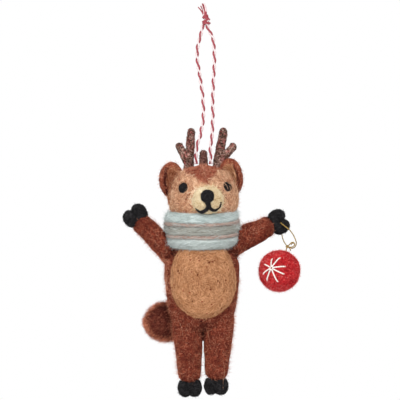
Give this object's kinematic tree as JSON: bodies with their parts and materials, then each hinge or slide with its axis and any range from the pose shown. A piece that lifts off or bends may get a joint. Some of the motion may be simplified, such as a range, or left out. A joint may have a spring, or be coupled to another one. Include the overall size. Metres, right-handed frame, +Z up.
{
  "type": "felt christmas ornament",
  "caption": "Needle-felted wool reindeer with raised arms, wound scarf and a felt ball on gold thread, hung on a twine loop.",
  "frame": {"origin": "the hanging point: the inside top of the twine loop, just under its knot", "axes": "+Z up along the hanging loop, the figure faces -Y, +X to the right as seen from the front"},
  "size_m": [0.0882, 0.0425, 0.1964],
  "materials": {
    "twine": "two-ply red and white cotton twine",
    "brown_felt": "matt needle-felted wool",
    "rust_felt": "matt needle-felted wool",
    "tan_felt": "matt needle-felted wool",
    "tummy_felt": "matt needle-felted wool",
    "cream_felt": "matt needle-felted wool",
    "black_felt": "matt needle-felted wool",
    "ear_felt": "matt needle-felted wool",
    "lining_felt": "matt needle-felted wool",
    "antler_felt": "matt mottled felted wool",
    "blue_roving": "soft wound wool roving",
    "stripe_yarn": "thin wool yarn",
    "gold_thread": "shiny metallic sewing thread",
    "ball_felt": "smooth felted wool",
    "white_yarn": "white embroidery yarn"
  },
  "bodies": {
    "hanging_loop": {"twine_left_strand": "twine", "twine_right_strand": "twine", "twine_knot": "twine", "twine_tail_left": "twine", "twine_tail_right": "twine"},
    "figure": {"torso": "brown_felt", "tummy_pad": "tummy_felt", "head": "rust_felt", "face_mask": "tan_felt", "muzzle": "cream_felt", "nose": "black_felt", "mouth_stitch": "black_felt", "eye_left": "black_felt", "eye_right": "black_felt", "ear_left": "ear_felt", "ear_right": "ear_felt", "ear_lining_left": "lining_felt", "ear_lining_right": "lining_felt", "antler_left": "antler_felt", "antler_right": "antler_felt", "antler_centre_point": "antler_felt", "arm_left": "brown_felt", "arm_right": "brown_felt", "front_hoof_left": "black_felt", "front_hoof_right": "black_felt", "leg_left": "brown_felt", "leg_right": "brown_felt", "hind_hoof_left": "black_felt", "hind_hoof_right": "black_felt", "tail": "brown_felt", "scarf": "blue_roving", "scarf_stripe": "stripe_yarn", "twine_stitch": "twine"},
    "thread_loop": {"gold_thread_loop": "gold_thread", "gold_thread_bow": "gold_thread"},
    "ball_hanger": {"gold_thread_stub": "gold_thread"},
    "ball": {"felt_ball": "ball_felt", "snowflake_stitch": "white_yarn"}
  },
  "joints": [
    {"name": "figure_swing", "type": "hinge", "parent": "hanging_loop", "child": "figure", "pos_m": [-0.0003, 0, -0.06843], "axis": [1, 0, 0], "range_deg": [-70, 70]},
    {"name": "thread_swing", "type": "hinge", "parent": "figure", "child": "thread_loop", "pos_m": [0.03818, -0.00135, -0.09791], "axis": [0, -1, 0], "range_deg": [-18, 75]},
    {"name": "ball_nod", "type": "hinge", "parent": "thread_loop", "child": "ball_hanger", "pos_m": [0.04158, -0.00135, -0.10976], "axis": [1, 0, 0], "range_deg": [-60, 60]},
    {"name": "ball_spin", "type": "hinge", "parent": "ball_hanger", "child": "ball", "pos_m": [0.03766, -0.00135, -0.12195], "axis": [0.3057, 0, 0.9521], "range_deg": [-180, 180]}
  ]
}
